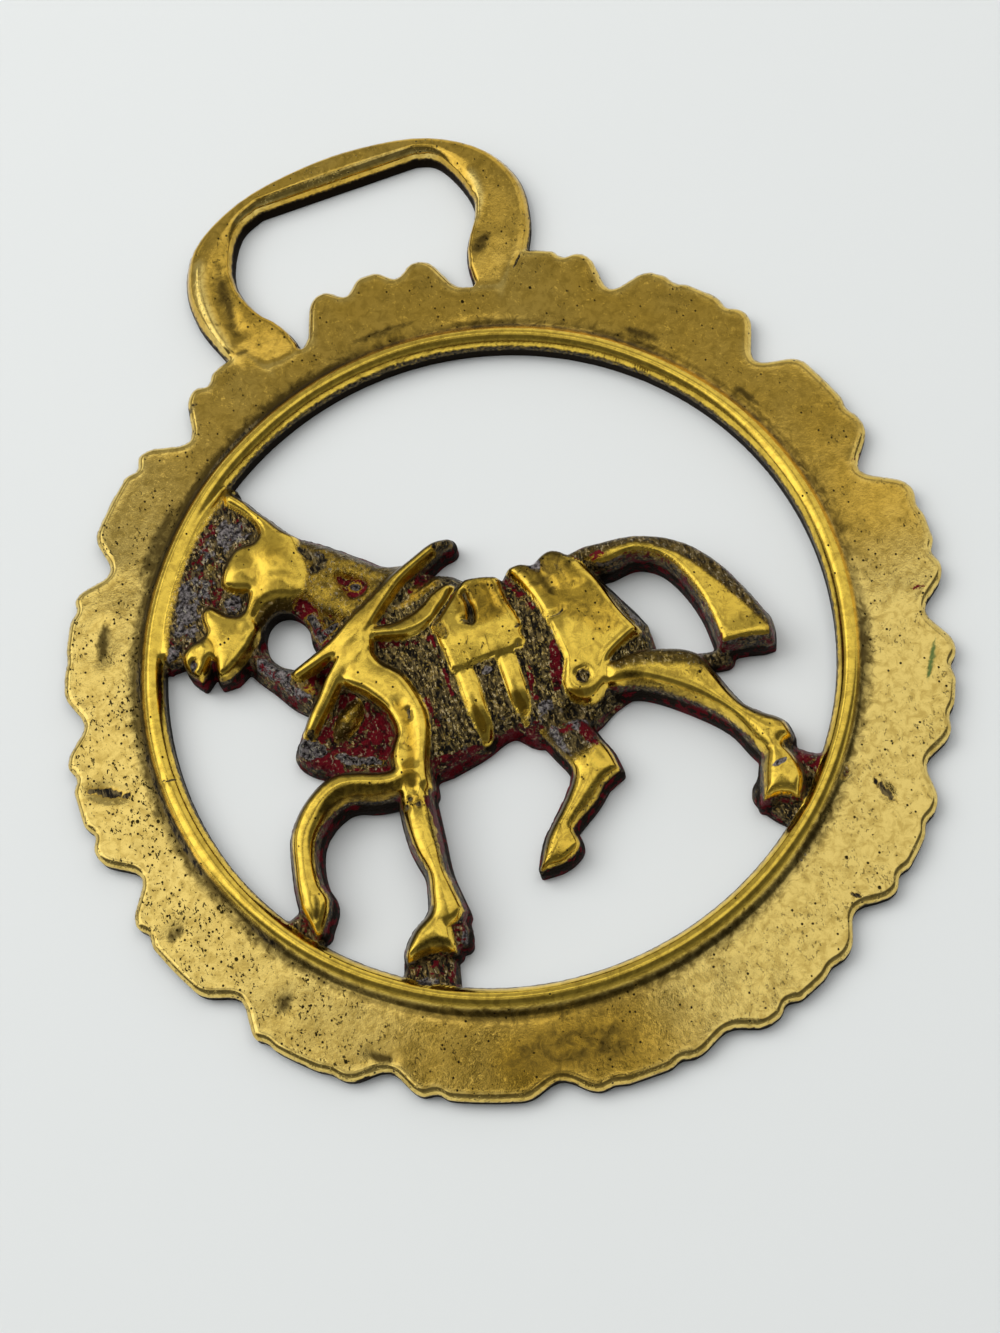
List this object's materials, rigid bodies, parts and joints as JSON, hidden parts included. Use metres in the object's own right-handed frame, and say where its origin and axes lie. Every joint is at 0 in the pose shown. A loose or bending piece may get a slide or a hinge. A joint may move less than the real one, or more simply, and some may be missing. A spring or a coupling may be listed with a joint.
{
  "type": "horse brass",
  "caption": "Cast brass harness ornament: a pie-crust edged ring with a raised rim around a pierced relief of a walking cart horse in harness, with a strap hanger loop on top.",
  "frame": {"origin": "centre of the raised round rim, on the flat back of the brass", "axes": "+Z out of the face of the brass, which lies on its back; +Y towards the strap hanger; the horse walks towards -X"},
  "size_m": [0.0803, 0.094, 0.0054],
  "materials": {
    "cast_brass": "worn satin brass, polished bright on the high relief, olive-brown in the hollows, with old dark red paint left in the deepest recesses"
  },
  "bodies": {
    "root": {"horse_brass": "cast_brass"}
  },
  "joints": []
}
